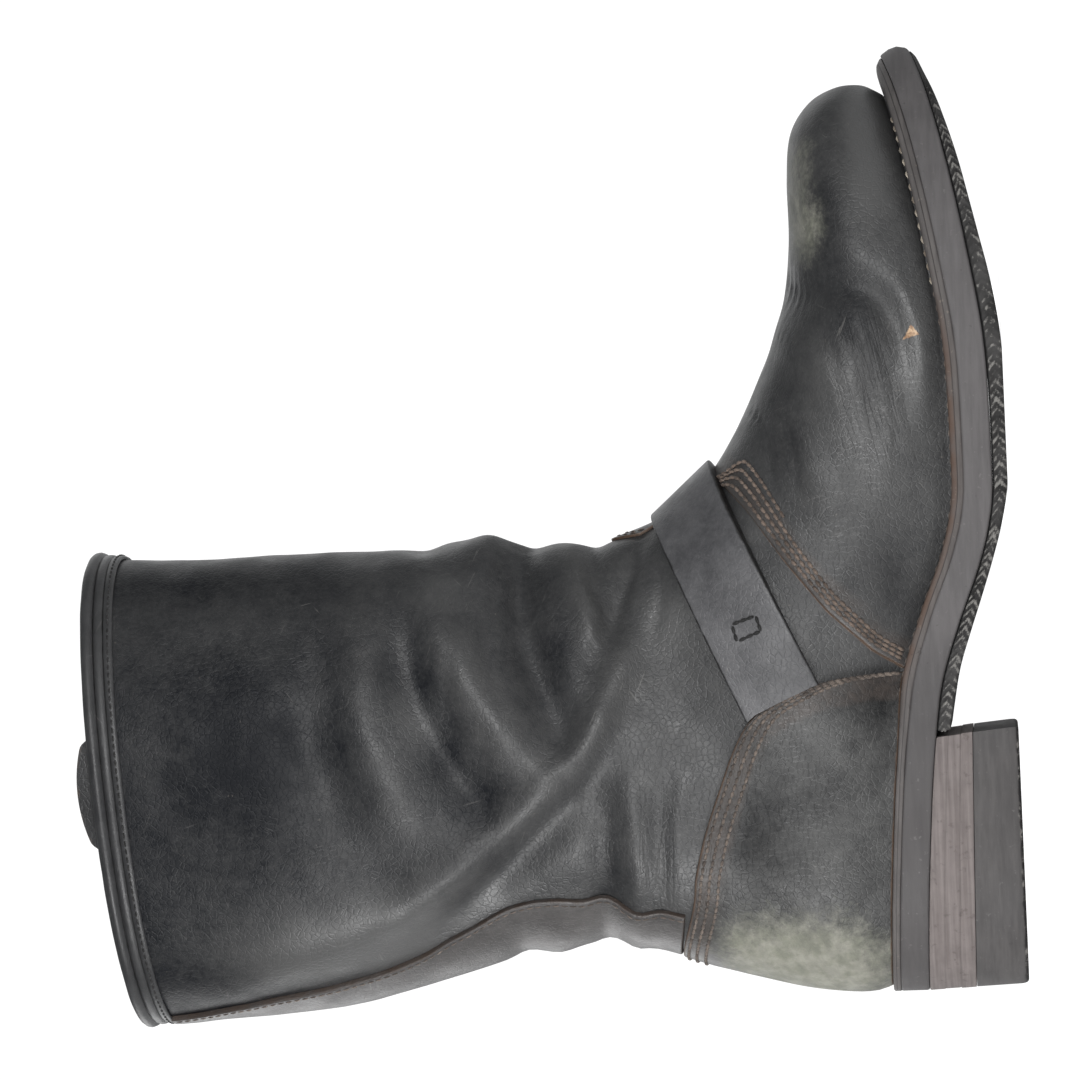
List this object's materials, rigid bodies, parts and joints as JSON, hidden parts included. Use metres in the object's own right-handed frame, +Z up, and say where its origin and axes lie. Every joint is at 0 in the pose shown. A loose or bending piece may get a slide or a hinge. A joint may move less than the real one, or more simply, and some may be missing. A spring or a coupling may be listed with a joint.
{
  "type": "engineer boot",
  "caption": "Black leather engineer boot for the left foot, with a pull-on shaft, a buckled instep strap, a stitched heel counter, a welted sole and a stacked heel.",
  "frame": {"origin": "middle of the boot's footprint box, on the floor", "axes": "+X from heel to toe, +Y to the outer side of the left foot, +Z up"},
  "size_m": [0.3081, 0.1084, 0.3002],
  "materials": {
    "upper_leather": "black oiled leather, satin, creased and scuffed",
    "counter_leather": "black leather, satin, dusty at the back",
    "backstay_leather": "black leather, satin",
    "binding_leather": "black leather, satin",
    "pull_tab_leather": "black leather, matte",
    "strap_leather": "thick black leather, satin, dyed cut edges",
    "welt_leather": "brown-black leather with pale lock stitches, matte",
    "insole_leather": "tan leather, matte",
    "heel_stack_leather": "stacked leather lifts, worn brown-grey, matte",
    "midsole_leather": "grey-brown sole leather, trimmed edge, matte",
    "outsole_rubber": "black rubber half sole with a corded edge, matte, dusty",
    "heel_rubber": "dark grey rubber, matte",
    "buckle_steel": "nickel-plated steel, satin"
  },
  "bodies": {
    "root": {"upper": "upper_leather", "midsole": "midsole_leather", "outsole": "outsole_rubber", "welt": "welt_leather", "insole": "insole_leather", "heel_stack": "heel_stack_leather", "heel_top_lift": "heel_rubber", "heel_counter": "counter_leather", "backstay": "backstay_leather", "collar_binding": "binding_leather", "pull_tab": "pull_tab_leather", "strap": "strap_leather", "strap_chape": "strap_leather", "strap_keeper": "strap_leather", "buckle_frame": "buckle_steel", "buckle_prong": "buckle_steel"}
  },
  "joints": []
}
